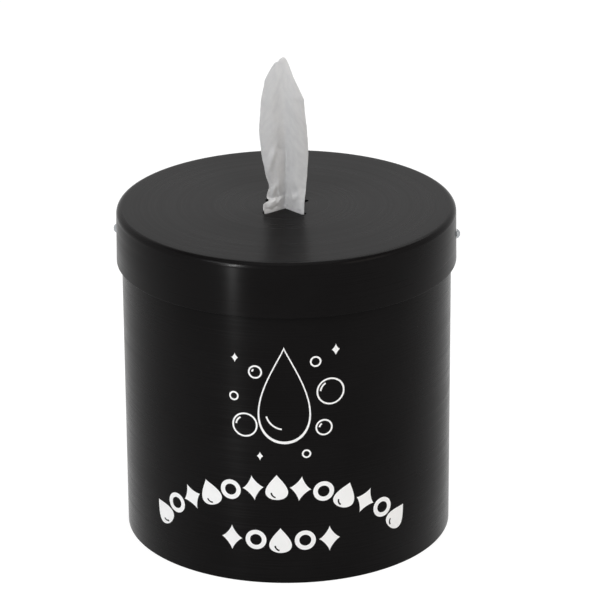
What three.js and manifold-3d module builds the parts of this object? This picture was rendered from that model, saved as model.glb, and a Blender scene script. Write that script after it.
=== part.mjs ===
// Wall-mounted wipe dispenser: a painted sheet-steel drum that holds a centre-feed roll of wipes, a lift-off
// lid with a cross-shaped slit, and a hat-section bracket that hangs on four wall screws.
// Millimetres, +Z up. The printed front faces -Y, the wall side faces +Y, and the lid's screws lie on the X axis.
// The origin is the middle of the underside.

import * as THREE from 'three';
import { mergeVertices } from 'three/addons/utils/BufferGeometryUtils.js';
import Module from 'manifold-3d';

const wasm = await Module();
wasm.setup();

// Drum
const canHeight = 253;
const drumRadius = 123;
const drumWall = 1.2;
const rimCurlWidth = 5;
const rimCurlDrop = 5;
const rimCurlRadius = 2;

// Base pan, spot-welded inside the drum's foot
const panSheet = 1.2;
const panFlange = 12;
const panBend = 1.4;

// Lid, which slips over the drum
const lidGap = 2.3;
const lidFlare = 0.5;
const lidSheet = 1.2;
const lidSkirt = 41.5;
const lidEdgeRadius = 4.5;
const slitArm = 22;
const slitWidth = 4.5;
const slitForward = 6.6;

// Pinch screws through the lid's skirt, with a thin nut clinched behind each
const lidScrewDrop = 21.5;
const lidScrewRadius = 2;
const lidScrewHeadRadius = 3.7;
const lidScrewHeadHeight = 2.6;
const lidScrewTipGap = 0.3;
const lidNutAcrossFlats = 7;
const lidNutDrumGap = 0.6;

// Roll of wipes, by the room that it leaves around, above and inside it
const rollSideRoom = 14.3;
const rollHeadRoom = 50.6;
const rollTailRoom = 4.9;
const rollEdge = 4;
const rollTurnRidges = 5;
const rollRidgeDepth = 1;

// Wipe that stands out of the slit, and its tail inside the can
const wipeRise = 116.8;
const wipeTail = 120;
const wipeLeft = 18.6;
const wipeRight = 17.5;
const wipeBack = 15;
const wipeFold = 1.8;

// Wall bracket
const bracketHeight = 130;
const bracketMiddle = 126;
const bracketSheet = 2;
const bracketDepth = 16;
const bracketBend = 2;
const crownWidth = 44;
const flangeWidth = 28;
const flangeCorner = 6;
const keyholeHead = 5;
const keyholeSlot = 2.75;
const keyholeRun = 12;
const keyholeInset = 25;

// Bolts that hold the bracket to the drum
const boltInset = 20;
const boltRadius = 3;
const boltHeadRadius = 6;
const boltHeadHeight = 3.3;
const boltEnd = 1.5;
const washerRadius = 6.5;
const washerSheet = 1.2;
const boltNutAcrossFlats = 10;
const boltNutHeight = 5;

// Clearances
const seatGap = 0.3;
const holeClearance = 0.3;
const threadClearance = 0.15;
const wipeClearance = 0.3;
const weldTolerance = 1e-4;

// Roundness
const canSegments = 72;
const rollSegments = 48;
const smallSegments = 20;
const bendSteps = 3;

// Derived sizes
const drumHeight = canHeight - lidSheet;
const drumInner = drumRadius - drumWall;
const lidRadius = drumRadius + lidGap + lidSheet + lidFlare;
const lidScrewHeight = canHeight - lidScrewDrop;
const slitCentreY = -slitForward;
const rollRadius = drumInner - rollSideRoom;
const rollBore = Math.hypot(slitArm * Math.SQRT1_2, slitArm * Math.SQRT1_2 + slitForward) + rollTailRoom;
const rollHeight = drumHeight - panSheet - rollHeadRoom;
const boltHoleRadius = boltRadius + holeClearance;
const crownFaceY = drumRadius + seatGap;
const wallY = crownFaceY + bracketDepth;
const flangeMiddleX = crownWidth / 2 + flangeWidth / 2;

const finishes = {
  blackPaint: { color: 0x141315, roughness: 0.34, metalness: 0.1 },
  bracketPaint: { color: 0x17171a, roughness: 0.5, metalness: 0.1 },
  stainless: { color: 0xc9cccf, roughness: 0.22, metalness: 1.0 },
  zinc: { color: 0xaeb2b6, roughness: 0.38, metalness: 1.0 },
  wipe: { color: 0xdcdde0, roughness: 0.92, metalness: 0.0 },
};

/** One named piece with a material of its own. */
function piece(name, geometry, finish) {
  const mesh = new THREE.Mesh(geometry, new THREE.MeshStandardMaterial(finish));
  mesh.name = name;
  return mesh;
}

/** Points on an arc about (x, y), with angles in degrees. */
function arc(x, y, radius, from, to, steps = bendSteps) {
  const points = [];
  for (let i = 0; i <= steps; i++) {
    const angle = THREE.MathUtils.degToRad(from + ((to - from) * i) / steps);
    points.push(new THREE.Vector2(x + radius * Math.cos(angle), y + radius * Math.sin(angle)));
  }
  return points;
}

/** The corners of a regular outline about the origin. */
function circle(radius, corners) {
  return arc(0, 0, radius, 0, 360, corners).slice(0, corners);
}

function point(x, y) {
  return new THREE.Vector2(x, y);
}

/** A turned solid about Z. The outline's x is the radius and its y the height, anticlockwise. */
function turned(outline, segments) {
  return new THREE.LatheGeometry(outline, segments).rotateX(Math.PI / 2);
}

/** A turned ring, whose outline closes on itself. */
function turnedRing(outline, segments) {
  return turned([...outline, outline[0].clone()], segments);
}

/** A flat shape raised along Z, with no bevel. */
function raised(shape, height) {
  return new THREE.ExtrudeGeometry(shape, { depth: height, bevelEnabled: false, curveSegments: 8 });
}

/** A geometry's corners merged and its collapsed triangles left out. */
function welded(geometry) {
  const bare = geometry.clone();
  bare.deleteAttribute('normal');
  bare.deleteAttribute('uv');
  const merged = mergeVertices(bare, weldTolerance);
  const corners = merged.index.array;
  const kept = [];
  for (let i = 0; i < corners.length; i += 3) {
    const [a, b, c] = [corners[i], corners[i + 1], corners[i + 2]];
    if (a !== b && b !== c && c !== a) kept.push(a, b, c);
  }
  merged.setIndex(kept);
  return merged;
}

function toSolid(geometry) {
  const closed = welded(geometry);
  return new wasm.Manifold(new wasm.Mesh({
    numProp: 3,
    vertProperties: new Float32Array(closed.attributes.position.array),
    triVerts: new Uint32Array(closed.index.array),
  }));
}

function toGeometry(solid) {
  const mesh = solid.getMesh();
  const geometry = new THREE.BufferGeometry();
  geometry.setAttribute('position', new THREE.BufferAttribute(new Float32Array(mesh.vertProperties), 3));
  geometry.setIndex([...mesh.triVerts]);
  geometry.computeVertexNormals();
  return geometry;
}

/** A geometry with others cut out of it. */
function cut(geometry, cutters) {
  return toGeometry(cutters.reduce((solid, cutter) => solid.subtract(toSolid(cutter)), toSolid(geometry)));
}

/** A slot's outline with round ends, centred on the origin and long in X. */
function slotShape(length, width) {
  const reach = length / 2 - width / 2;
  const shape = new THREE.Shape();
  shape.absarc(reach, 0, width / 2, -Math.PI / 2, Math.PI / 2, false);
  shape.absarc(-reach, 0, width / 2, Math.PI / 2, (3 * Math.PI) / 2, false);
  return shape;
}

/** A rectangle's outline with round corners, centred on the origin. */
function plateShape(width, height, corner) {
  const x = width / 2 - corner;
  const y = height / 2 - corner;
  const shape = new THREE.Shape();
  shape.absarc(x, -y, corner, -Math.PI / 2, 0, false);
  shape.absarc(x, y, corner, 0, Math.PI / 2, false);
  shape.absarc(-x, y, corner, Math.PI / 2, Math.PI, false);
  shape.absarc(-x, -y, corner, Math.PI, (3 * Math.PI) / 2, false);
  return shape;
}

/** A round bar along Z, centred on the origin. */
function bar(radius, length) {
  return new THREE.CylinderGeometry(radius, radius, length, smallSegments).rotateX(Math.PI / 2);
}

/** The drum: a rolled sheet whose top edge is curled inwards, with two bolt holes in its back. */
function drumShell() {
  const top = drumHeight - rimCurlRadius;
  const curlInner = drumRadius - rimCurlWidth;
  const insideRadius = rimCurlRadius - drumWall;
  const outline = [
    point(drumRadius, 0),
    ...arc(drumRadius - rimCurlRadius, top, rimCurlRadius, 0, 90),
    ...arc(curlInner + rimCurlRadius, top, rimCurlRadius, 90, 180),
    point(curlInner, drumHeight - rimCurlDrop),
    point(curlInner + drumWall, drumHeight - rimCurlDrop),
    ...arc(curlInner + rimCurlRadius, top, insideRadius, 180, 90),
    ...arc(drumRadius - rimCurlRadius, top, insideRadius, 90, 0),
    point(drumInner, 0),
  ];
  const holes = boltHeights().map((z) => bar(boltHoleRadius, 4 * drumWall)
    .rotateX(Math.PI / 2).translate(0, drumRadius - drumWall / 2, z));
  return cut(turnedRing(outline, canSegments), holes);
}

/** The base pan: a disc flush with the drum's foot, with a flange turned up inside the wall. */
function basePan() {
  const radius = drumInner - seatGap;
  const outerBend = panBend + panSheet;
  const outline = [
    point(0, 0),
    ...arc(radius - outerBend, outerBend, outerBend, -90, 0),
    point(radius, panFlange),
    point(radius - panSheet, panFlange),
    ...arc(radius - outerBend, outerBend, panBend, 0, -90),
    point(0, panSheet),
  ];
  return turned(outline, canSegments);
}

/** The skirt's outer radius at a height, since the skirt flares towards its lower edge. */
function skirtRadius(z) {
  const straight = lidSkirt - lidEdgeRadius;
  return lidRadius - (lidFlare * (z - (canHeight - lidSkirt))) / straight;
}

/** The two crossing slots of the slit, as outlines turned by 45 degrees. */
function slitCutters() {
  return [45, -45].map((degrees) => raised(slotShape(2 * slitArm, slitWidth), 4 * lidSheet)
    .rotateZ(THREE.MathUtils.degToRad(degrees)).translate(0, slitCentreY, canHeight - 3 * lidSheet));
}

/** The lid: a spun cap with a rounded edge, the cross slit and a hole for each screw. */
function lid() {
  const shoulder = canHeight - lidEdgeRadius;
  const flat = lidRadius - lidFlare - lidEdgeRadius;
  const foot = canHeight - lidSkirt;
  const outline = [
    point(0, canHeight - lidSheet),
    ...arc(flat, shoulder, lidEdgeRadius - lidSheet, 90, 0),
    point(lidRadius - lidSheet, foot),
    point(lidRadius, foot),
    ...arc(flat, shoulder, lidEdgeRadius, 0, 90),
    point(0, canHeight),
  ];
  const screwHoles = bar(lidScrewRadius + holeClearance, 2 * lidRadius + 4 * lidSheet)
    .rotateY(Math.PI / 2).translate(0, 0, lidScrewHeight);
  return cut(turned(outline, canSegments), [...slitCutters(), screwHoles]);
}

/** A dome-headed screw along Z with its tip at the origin and a cross recess in the head. */
function domeScrew(radius, length, headRadius, headHeight) {
  const chamfer = radius / 4;
  const sphere = (headRadius ** 2 + headHeight ** 2) / (2 * headHeight);
  const rim = THREE.MathUtils.radToDeg(Math.asin((sphere - headHeight) / sphere));
  const outline = [
    point(0, 0),
    point(radius - chamfer, 0),
    point(radius, chamfer),
    point(radius, length),
    ...arc(0, length + headHeight - sphere, sphere, rim, 90),
  ];
  outline[outline.length - 1].x = 0;
  const recess = [0, 90].map((degrees) => new THREE.BoxGeometry(headRadius, headRadius / 4, headHeight)
    .rotateZ(THREE.MathUtils.degToRad(degrees)).translate(0, 0, length + headHeight));
  return cut(turned(outline, smallSegments), recess);
}

/** A hexagon nut along Z with its lower face at the origin. */
function hexNut(acrossFlats, bore, height) {
  const cornerRadius = acrossFlats / Math.sqrt(3);
  const shape = new THREE.Shape(circle(cornerRadius, 6));
  shape.holes.push(new THREE.Path(circle(bore, smallSegments).reverse()));
  return raised(shape, height);
}

/** A plain washer along Z with its lower face at the origin. */
function washer() {
  const bore = boltRadius + threadClearance;
  return turnedRing([point(bore, 0), point(washerRadius, 0), point(washerRadius, washerSheet),
    point(bore, washerSheet)], smallSegments);
}

/** The two pinch screws and the nuts that the lid carries for them. */
function lidFasteners() {
  const group = new THREE.Group();
  const seat = skirtRadius(lidScrewHeight);
  const tip = drumRadius + lidScrewTipGap;
  const nutInner = drumRadius + lidNutDrumGap;
  const nutHeight = seat - lidSheet - seatGap - nutInner;
  for (const [side, turn] of [['left', -Math.PI / 2], ['right', Math.PI / 2]]) {
    const stack = new THREE.Group();
    stack.rotation.y = turn;
    stack.position.z = lidScrewHeight;
    const shank = seat + seatGap - tip;
    const screw = piece(`lid_screw_${side}`,
      domeScrew(lidScrewRadius, shank, lidScrewHeadRadius, lidScrewHeadHeight), finishes.stainless);
    screw.position.z = tip;
    const nut = piece(`lid_nut_${side}`,
      hexNut(lidNutAcrossFlats, lidScrewRadius + threadClearance, nutHeight), finishes.zinc);
    nut.position.z = nutInner;
    stack.add(screw, nut);
    group.add(stack);
  }
  return group;
}

/** The roll: wound sheets with an open bore, whose turns show as low ridges on the top face. */
function wipeRoll() {
  const foot = panSheet;
  const top = foot + rollHeight;
  const turnStep = (rollRadius - rollBore - 2 * rollEdge) / rollTurnRidges;
  const ridges = [];
  for (let i = 0; i < rollTurnRidges; i++) {
    const outer = rollRadius - rollEdge - i * turnStep;
    ridges.push(point(outer, top), point(outer - turnStep / 2, top - rollRidgeDepth));
  }
  const outline = [
    point(rollBore, foot),
    point(rollRadius - rollEdge, foot),
    point(rollRadius, foot + rollEdge),
    point(rollRadius, top - rollEdge),
    ...ridges,
    point(rollBore + rollEdge, top),
    point(rollBore, top - rollEdge),
  ];
  return turnedRing(outline, rollSegments);
}

/**
 * One level of the wipe: four leaves that meet at the crease. Each front leaf reaches its own half width in X
 * and stands at the spread angle from -Y, and the back leaves have one length and stand across from them.
 */
function wipeSection(z, { left, right, back, spread, half }) {
  const tilt = THREE.MathUtils.degToRad(spread);
  const leaves = [
    { angle: -Math.PI / 2 + tilt, length: right / Math.sin(tilt) },
    { angle: Math.PI / 2 - tilt, length: back },
    { angle: Math.PI / 2 + tilt, length: back },
    { angle: -Math.PI / 2 - tilt + 2 * Math.PI, length: left / Math.sin(tilt) },
  ];
  const ring = [];
  leaves.forEach(({ angle, length }, i) => {
    const along = new THREE.Vector2(Math.cos(angle), Math.sin(angle));
    const across = new THREE.Vector2(-along.y, along.x);
    for (const end of arc(0, 0, half, -90, 90, 4)) {
      const out = Math.max(length - half, half) + end.x;
      ring.push(along.clone().multiplyScalar(out).addScaledVector(across, end.y));
    }
    const next = i === leaves.length - 1 ? leaves[0].angle + 2 * Math.PI : leaves[i + 1].angle;
    const middle = (angle + next) / 2;
    const notch = half / Math.sin((next - angle) / 2);
    ring.push(new THREE.Vector2(Math.cos(middle), Math.sin(middle)).multiplyScalar(notch));
  });
  return ring.map((p) => new THREE.Vector3(p.x, p.y + slitCentreY, z));
}

/** A closed solid through rings of equal length, each anticlockwise from above, from the lowest up. */
function loft(rings) {
  const count = rings[0].length;
  const ends = [rings[0], rings[rings.length - 1]].map((ring) => ring
    .reduce((sum, p) => sum.add(p), new THREE.Vector3()).divideScalar(count));
  const corners = [...rings.flat(), ...ends];
  const lowEnd = corners.length - 2;
  const highEnd = corners.length - 1;
  const lastRing = (rings.length - 1) * count;
  const triangles = [];
  for (let i = 0; i < count; i++) {
    const j = (i + 1) % count;
    for (let base = 0; base < lastRing; base += count) {
      triangles.push(base + i, base + j, base + count + i);
      triangles.push(base + j, base + count + j, base + count + i);
    }
    triangles.push(lowEnd, j, i, highEnd, lastRing + i, lastRing + j);
  }
  const geometry = new THREE.BufferGeometry().setFromPoints(corners);
  geometry.setIndex(triangles);
  geometry.computeVertexNormals();
  return geometry;
}

/**
 * One level of the wipe's free part: where it stands as a share of the rise, and how wide its left and right
 * leaves, its back leaves and its fold are, each as a share of the wipe's own size.
 */
function freeSection(rise, left, right, back, fold, spread) {
  return wipeSection(canHeight + rise * wipeRise, {
    left: left * wipeLeft, right: right * wipeRight, back: back * wipeBack, half: fold * wipeFold, spread,
  });
}

/**
 * The wipe: folded to the slit's cross section from its tail up to just above the lid, then pinched, widest
 * at nearly half its rise, and closed to a point over the crease.
 */
function pulledWipe() {
  const slitLength = slitArm - wipeClearance;
  const inSlit = {
    left: slitLength * Math.SQRT1_2,
    right: slitLength * Math.SQRT1_2,
    back: slitLength,
    half: slitWidth / 2 - wipeClearance,
    spread: 45,
  };
  return loft([
    wipeSection(canHeight - wipeTail, inSlit),
    wipeSection(canHeight + lidSheet, inSlit),
    freeSection(0.15, 0.62, 0.9, 1, 1, 48),
    freeSection(0.38, 0.93, 1, 0.7, 0.89, 57),
    freeSection(0.51, 1, 0.94, 0.55, 0.83, 60),
    freeSection(0.69, 0.94, 0.81, 0.4, 0.67, 64),
    freeSection(0.83, 0.78, 0.47, 0.33, 0.56, 65),
    freeSection(0.95, 0.38, 0.2, 0.2, 0.39, 66),
    freeSection(1, 0.06, 0.06, 0.08, 0.28, 66),
  ]);
}

/** The heights of the two bolts, upper first. */
function boltHeights() {
  const reach = bracketHeight / 2 - boltInset;
  return [bracketMiddle + reach, bracketMiddle - reach];
}

/** The right half of the bracket's hat section, from the crown's drum side round to its wall side. */
function hatHalf() {
  const legOuter = crownWidth / 2;
  const legInner = legOuter - bracketSheet;
  const outerBend = bracketBend + bracketSheet;
  const bendX = legOuter - outerBend;
  const flangeBendX = legOuter + bracketBend;
  const reach = legOuter + flangeWidth;
  return [
    ...arc(bendX, crownFaceY + outerBend, outerBend, -90, 0),
    ...arc(flangeBendX, wallY - outerBend, bracketBend, 180, 90),
    point(reach, wallY - bracketSheet),
    point(reach, wallY),
    ...arc(legInner + outerBend, wallY - outerBend, outerBend, 90, 180),
    ...arc(bendX, crownFaceY + outerBend, bracketBend, 0, -90),
  ];
}

/** One keyhole through a flange: a hole for the screw's head with a slot above it. */
function keyholeCutters(x, z) {
  const depth = 4 * bracketSheet;
  const throughFlange = (geometry) => geometry.rotateX(Math.PI / 2);
  const head = throughFlange(bar(keyholeHead, depth)).translate(x, wallY - bracketSheet / 2, z);
  const slot = throughFlange(raised(slotShape(2 * keyholeRun, 2 * keyholeSlot), depth).rotateZ(Math.PI / 2))
    .translate(x, wallY - bracketSheet / 2 + depth / 2, z);
  const aboveOnly = new THREE.BoxGeometry(2 * keyholeHead, depth, 2 * keyholeRun)
    .translate(x, wallY - bracketSheet / 2, z + keyholeRun);
  return [head, toGeometry(toSolid(slot).intersect(toSolid(aboveOnly)))];
}

/** The bracket: a folded hat section with rounded corners, bolt holes in its crown and keyholes in its flanges. */
function wallBracket() {
  const half = hatHalf();
  const section = new THREE.Shape([...half, ...half.map((p) => point(-p.x, p.y)).reverse()]);
  const low = bracketMiddle - bracketHeight / 2;
  const strip = raised(section, bracketHeight).translate(0, 0, low);
  const face = raised(plateShape(crownWidth + 2 * flangeWidth, bracketHeight, flangeCorner), 2 * bracketDepth)
    .rotateX(Math.PI / 2).translate(0, wallY + bracketDepth / 2, bracketMiddle);
  const trimmed = toGeometry(toSolid(strip).intersect(toSolid(face)));
  const boltHoles = boltHeights().map((z) => bar(boltHoleRadius, 4 * bracketSheet)
    .rotateX(Math.PI / 2).translate(0, crownFaceY + bracketSheet / 2, z));
  const keyholes = [-1, 1].flatMap((side) => [-1, 1].flatMap((level) => keyholeCutters(
    side * flangeMiddleX, bracketMiddle + level * (bracketHeight / 2 - keyholeInset))));
  return cut(trimmed, [...boltHoles, ...keyholes]);
}

/** The bolts with their washers and nuts, stacked along +Y from inside the drum to the bracket's channel. */
function bracketFasteners() {
  const group = new THREE.Group();
  const wallSag = drumInner - Math.sqrt(drumInner ** 2 - washerRadius ** 2);
  const innerWasherFace = drumInner - wallSag - seatGap - washerSheet;
  const headSeat = innerWasherFace - seatGap;
  const outerWasherFace = crownFaceY + bracketSheet + seatGap;
  const nutFace = outerWasherFace + washerSheet + seatGap;
  const boltTip = nutFace + boltNutHeight + boltEnd;
  boltHeights().forEach((z, i) => {
    const level = ['upper', 'lower'][i];
    const stack = new THREE.Group();
    stack.rotation.x = -Math.PI / 2;
    stack.position.z = z;
    const bolt = piece(`bracket_bolt_${level}`,
      domeScrew(boltRadius, boltTip - headSeat, boltHeadRadius, boltHeadHeight), finishes.zinc);
    bolt.rotation.x = Math.PI;
    bolt.position.z = boltTip;
    const innerWasher = piece(`inner_washer_${level}`, washer(), finishes.zinc);
    innerWasher.position.z = innerWasherFace;
    const outerWasher = piece(`outer_washer_${level}`, washer(), finishes.zinc);
    outerWasher.position.z = outerWasherFace;
    const nut = piece(`bracket_nut_${level}`,
      hexNut(boltNutAcrossFlats, boltRadius + threadClearance, boltNutHeight), finishes.zinc);
    nut.position.z = nutFace;
    stack.add(bolt, innerWasher, outerWasher, nut);
    group.add(stack);
  });
  return group;
}

const dispenser = new THREE.Group();
const can = new THREE.Group();
can.add(piece('drum_shell', drumShell(), finishes.blackPaint), piece('base_pan', basePan(), finishes.blackPaint),
  piece('wipe_roll', wipeRoll(), finishes.wipe));
const lidAssembly = new THREE.Group();
lidAssembly.add(piece('lid', lid(), finishes.blackPaint), lidFasteners(),
  piece('pulled_wipe', pulledWipe(), finishes.wipe));
const wallMount = new THREE.Group();
wallMount.add(piece('wall_bracket', wallBracket(), finishes.bracketPaint), bracketFasteners());
dispenser.add(can, lidAssembly, wallMount);

export default dispenser;
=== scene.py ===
"""Looks of a wall-mounted wipe dispenser: fine meshes, finishes, the folded wipe, the print and a studio.

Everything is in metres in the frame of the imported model. The printed front faces -Y, the wall side faces +Y,
and the origin is the middle of the can's underside.
"""

from __future__ import annotations

import logging
import math
from dataclasses import astuple, dataclass, field
from enum import Enum
from typing import Callable, Iterable, Sequence

import bmesh
import bpy
from mathutils import Matrix, Vector, noise


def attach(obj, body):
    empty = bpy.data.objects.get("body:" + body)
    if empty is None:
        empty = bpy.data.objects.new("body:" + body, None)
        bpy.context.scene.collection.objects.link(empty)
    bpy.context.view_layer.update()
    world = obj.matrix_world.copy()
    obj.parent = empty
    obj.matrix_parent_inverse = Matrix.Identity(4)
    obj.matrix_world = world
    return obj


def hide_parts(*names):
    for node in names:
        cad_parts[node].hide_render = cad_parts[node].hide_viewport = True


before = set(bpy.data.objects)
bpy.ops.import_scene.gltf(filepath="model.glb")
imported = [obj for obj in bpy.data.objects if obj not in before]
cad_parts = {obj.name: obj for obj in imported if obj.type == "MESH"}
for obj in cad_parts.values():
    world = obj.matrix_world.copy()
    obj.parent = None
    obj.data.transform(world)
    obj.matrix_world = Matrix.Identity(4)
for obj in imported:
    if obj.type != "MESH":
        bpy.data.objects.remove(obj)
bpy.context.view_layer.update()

MM = 0.001
QUARTERS = (0.25, 0.5, 0.75)
WELD_DISTANCE = 1e-7
log = logging.getLogger("wipe_dispenser")

Mesh = bmesh.types.BMesh
Thing = bpy.types.Object
Node = bpy.types.Node
Socket = bpy.types.NodeSocket
NodeTree = bpy.types.NodeTree
Pair = tuple[float, float]
Triple = tuple[float, float, float]
Outline = list[Pair]
Colour = Triple
Inputs = dict[str | int, object]


class Side(Enum):
    """The side of the can that a piece is on, as the sign of its X."""

    LEFT = -1
    RIGHT = 1


class Level(Enum):
    """The level of a bracket fastener, as the sign of its height above the bracket's middle."""

    LOWER = -1
    UPPER = 1


class Cut(Enum):
    """How a tool's mesh works on a piece's mesh."""

    AWAY = "DIFFERENCE"
    SHARED = "INTERSECT"


class Space(Enum):
    """The coordinates that a finish follows."""

    OBJECT = "Object"
    SHEET = "UV"


class Mask(Enum):
    """The masks of the speckle group."""

    BROAD = "Broad"
    FINE = "Fine"
    SPOTS = "Spots"


class Mark(Enum):
    """The plain hygiene marks that the print is made of."""

    DROP = "drop"
    SPARKLE = "sparkle"
    BUBBLE = "bubble"


# Numbers and outlines


def ramp(value: float, low: float, high: float) -> float:
    """Gives how far a value is from low to high, kept between 0 and 1."""
    return min(max((value - low) / (high - low), 0), 1)


def arc(x: float, y: float, radius: float, start: float, stop: float, steps: int = 8) -> Outline:
    """Gives an arc's points about (x, y) from one angle in degrees to another, both ends included."""
    angles = (math.radians(start + (stop - start) * i / steps) for i in range(steps + 1))
    return [(x + radius * math.cos(a), y + radius * math.sin(a)) for a in angles]


def between(start: Pair, end: Pair, *shares: float) -> Outline:
    """Gives points at shares of the way along a straight line."""
    return [(start[0] + (end[0] - start[0]) * t, start[1] + (end[1] - start[1]) * t) for t in shares]


def loop(curve: Callable[[float], Pair], steps: int) -> Outline:
    """Samples a closed curve whose parameter runs once round from 0 to a full turn."""
    return [curve(math.tau * i / steps) for i in range(steps)]


def direction(azimuth: float, elevation: float) -> Vector:
    """Gives the way from the object to a viewer, by angles in degrees from the front and the level."""
    a, e = math.radians(azimuth), math.radians(elevation)
    return Vector((math.sin(a) * math.cos(e), -math.cos(a) * math.cos(e), math.sin(e)))


# Mesh building


def turned(degrees: float, axis: str) -> Matrix:
    """Gives a turn about one of the frame's axes."""
    return Matrix.Rotation(math.radians(degrees), 4, axis)


def at(x: float, y: float, z: float, degrees: float = 0, axis: str = "Z") -> Matrix:
    """Gives the place of a mesh that is turned about an axis and then moved."""
    return Matrix.Translation((x, y, z)) @ turned(degrees, axis)


def moved(bm: Mesh, place: Matrix) -> Mesh:
    """Moves a whole mesh and hands it back."""
    bmesh.ops.transform(bm, matrix=place, verts=bm.verts)
    return bm


def spun(profile: Outline, steps: int, closed: bool = False) -> Mesh:
    """Spins a profile about the Z axis.

    Args:
        profile: Points as (radius, height).
        steps: The number of steps in the full turn.
        closed: Whether the profile's last point joins its first.

    Returns:
        A closed mesh whose faces point outwards.
    """
    bm = bmesh.new()
    points = [bm.verts.new((radius, 0, height)) for radius, height in profile]
    pairs = list(zip(points, points[1:])) + ([(points[-1], points[0])] if closed else [])
    edges = [bm.edges.new(pair) for pair in pairs]
    bmesh.ops.spin(bm, geom=points + edges, cent=(0, 0, 0), axis=(0, 0, 1), angle=math.tau, steps=steps,
                   use_merge=True)
    bmesh.ops.remove_doubles(bm, verts=bm.verts, dist=WELD_DISTANCE)
    bmesh.ops.recalc_face_normals(bm, faces=bm.faces)
    return bm


def prism(outline: Outline, height: float) -> Mesh:
    """Raises a flat outline along Z.

    Args:
        outline: Points as (x, y).
        height: How far the prism stands above z = 0.

    Returns:
        A closed mesh whose faces point outwards.
    """
    bm = bmesh.new()
    face = bm.faces.new([bm.verts.new((x, y, 0)) for x, y in outline])
    raised = bmesh.ops.extrude_face_region(bm, geom=[face])["geom"]
    tops = [v for v in raised if isinstance(v, bmesh.types.BMVert)]
    bmesh.ops.translate(bm, verts=tops, vec=(0, 0, height))
    bmesh.ops.recalc_face_normals(bm, faces=bm.faces)
    return bm


def rod(radius: float, length: float, steps: int = 48) -> Mesh:
    """Gives a round bar along Z, centred on the origin."""
    bm = bmesh.new()
    bmesh.ops.create_cone(bm, cap_ends=True, segments=steps, radius1=radius, radius2=radius, depth=length)
    return bm


def shaded(bm: Mesh, sharp_degrees: float = 35) -> Mesh:
    """Shades a mesh smooth.

    Args:
        bm: The mesh.
        sharp_degrees: The bend beyond which an edge stays sharp.

    Returns:
        The same mesh.
    """
    limit = math.radians(sharp_degrees)
    for face in bm.faces:
        face.smooth = True
    for edge in bm.edges:
        edge.smooth = edge.calc_face_angle(0) < limit
    return bm


def as_object(name: str, bm: Mesh) -> Thing:
    """Puts a mesh into the scene.

    Args:
        name: The object's name.
        bm: The mesh. It is freed.

    Returns:
        The object, at the origin.
    """
    mesh = bpy.data.meshes.new(name)
    bm.to_mesh(mesh)
    bm.free()
    obj = bpy.data.objects.new(name, mesh)
    bpy.context.scene.collection.objects.link(obj)
    return obj


def settle(obj: Thing) -> None:
    """Makes an object's modifiers part of its mesh.

    Args:
        obj: The object.
    """
    bpy.context.view_layer.update()
    graph = bpy.context.evaluated_depsgraph_get()
    mesh = bpy.data.meshes.new_from_object(obj.evaluated_get(graph))
    old = obj.data
    obj.modifiers.clear()
    obj.data = mesh
    bpy.data.meshes.remove(old)


def carved(bm: Mesh, tools: Iterable[Mesh], cut: Cut = Cut.AWAY) -> Mesh:
    """Cuts a mesh with others.

    Args:
        bm: The closed mesh that is cut. It is freed.
        tools: The closed meshes that cut it. They are freed.
        cut: Whether each tool is taken away or only what they share is kept.

    Returns:
        The cut mesh, with its sharp edges marked.
    """
    body = as_object("carved_body", bm)
    cutters = [as_object("carving_tool", tool) for tool in tools]
    for cutter in cutters:
        change = body.modifiers.new("carve", "BOOLEAN")
        change.operation = cut.value
        change.solver = "EXACT"
        change.object = cutter
    settle(body)
    result = bmesh.new()
    result.from_mesh(body.data)
    for obj in (body, *cutters):
        mesh = obj.data
        bpy.data.objects.remove(obj)
        bpy.data.meshes.remove(mesh)
    bmesh.ops.remove_doubles(result, verts=result.verts, dist=WELD_DISTANCE)
    return shaded(result)


def ease(obj: Thing, width: float, segments: int = 2, bend_degrees: float = 40) -> None:
    """Rounds an object's sharp edges with a live bevel.

    Args:
        obj: The object.
        width: The bevel's width.
        segments: The number of steps across it.
        bend_degrees: The bend beyond which an edge is rounded.
    """
    bevel = obj.modifiers.new("eased_edges", "BEVEL")
    bevel.width = width
    bevel.segments = segments
    bevel.limit_method = "ANGLE"
    bevel.angle_limit = math.radians(bend_degrees)


# Shader building


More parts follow.
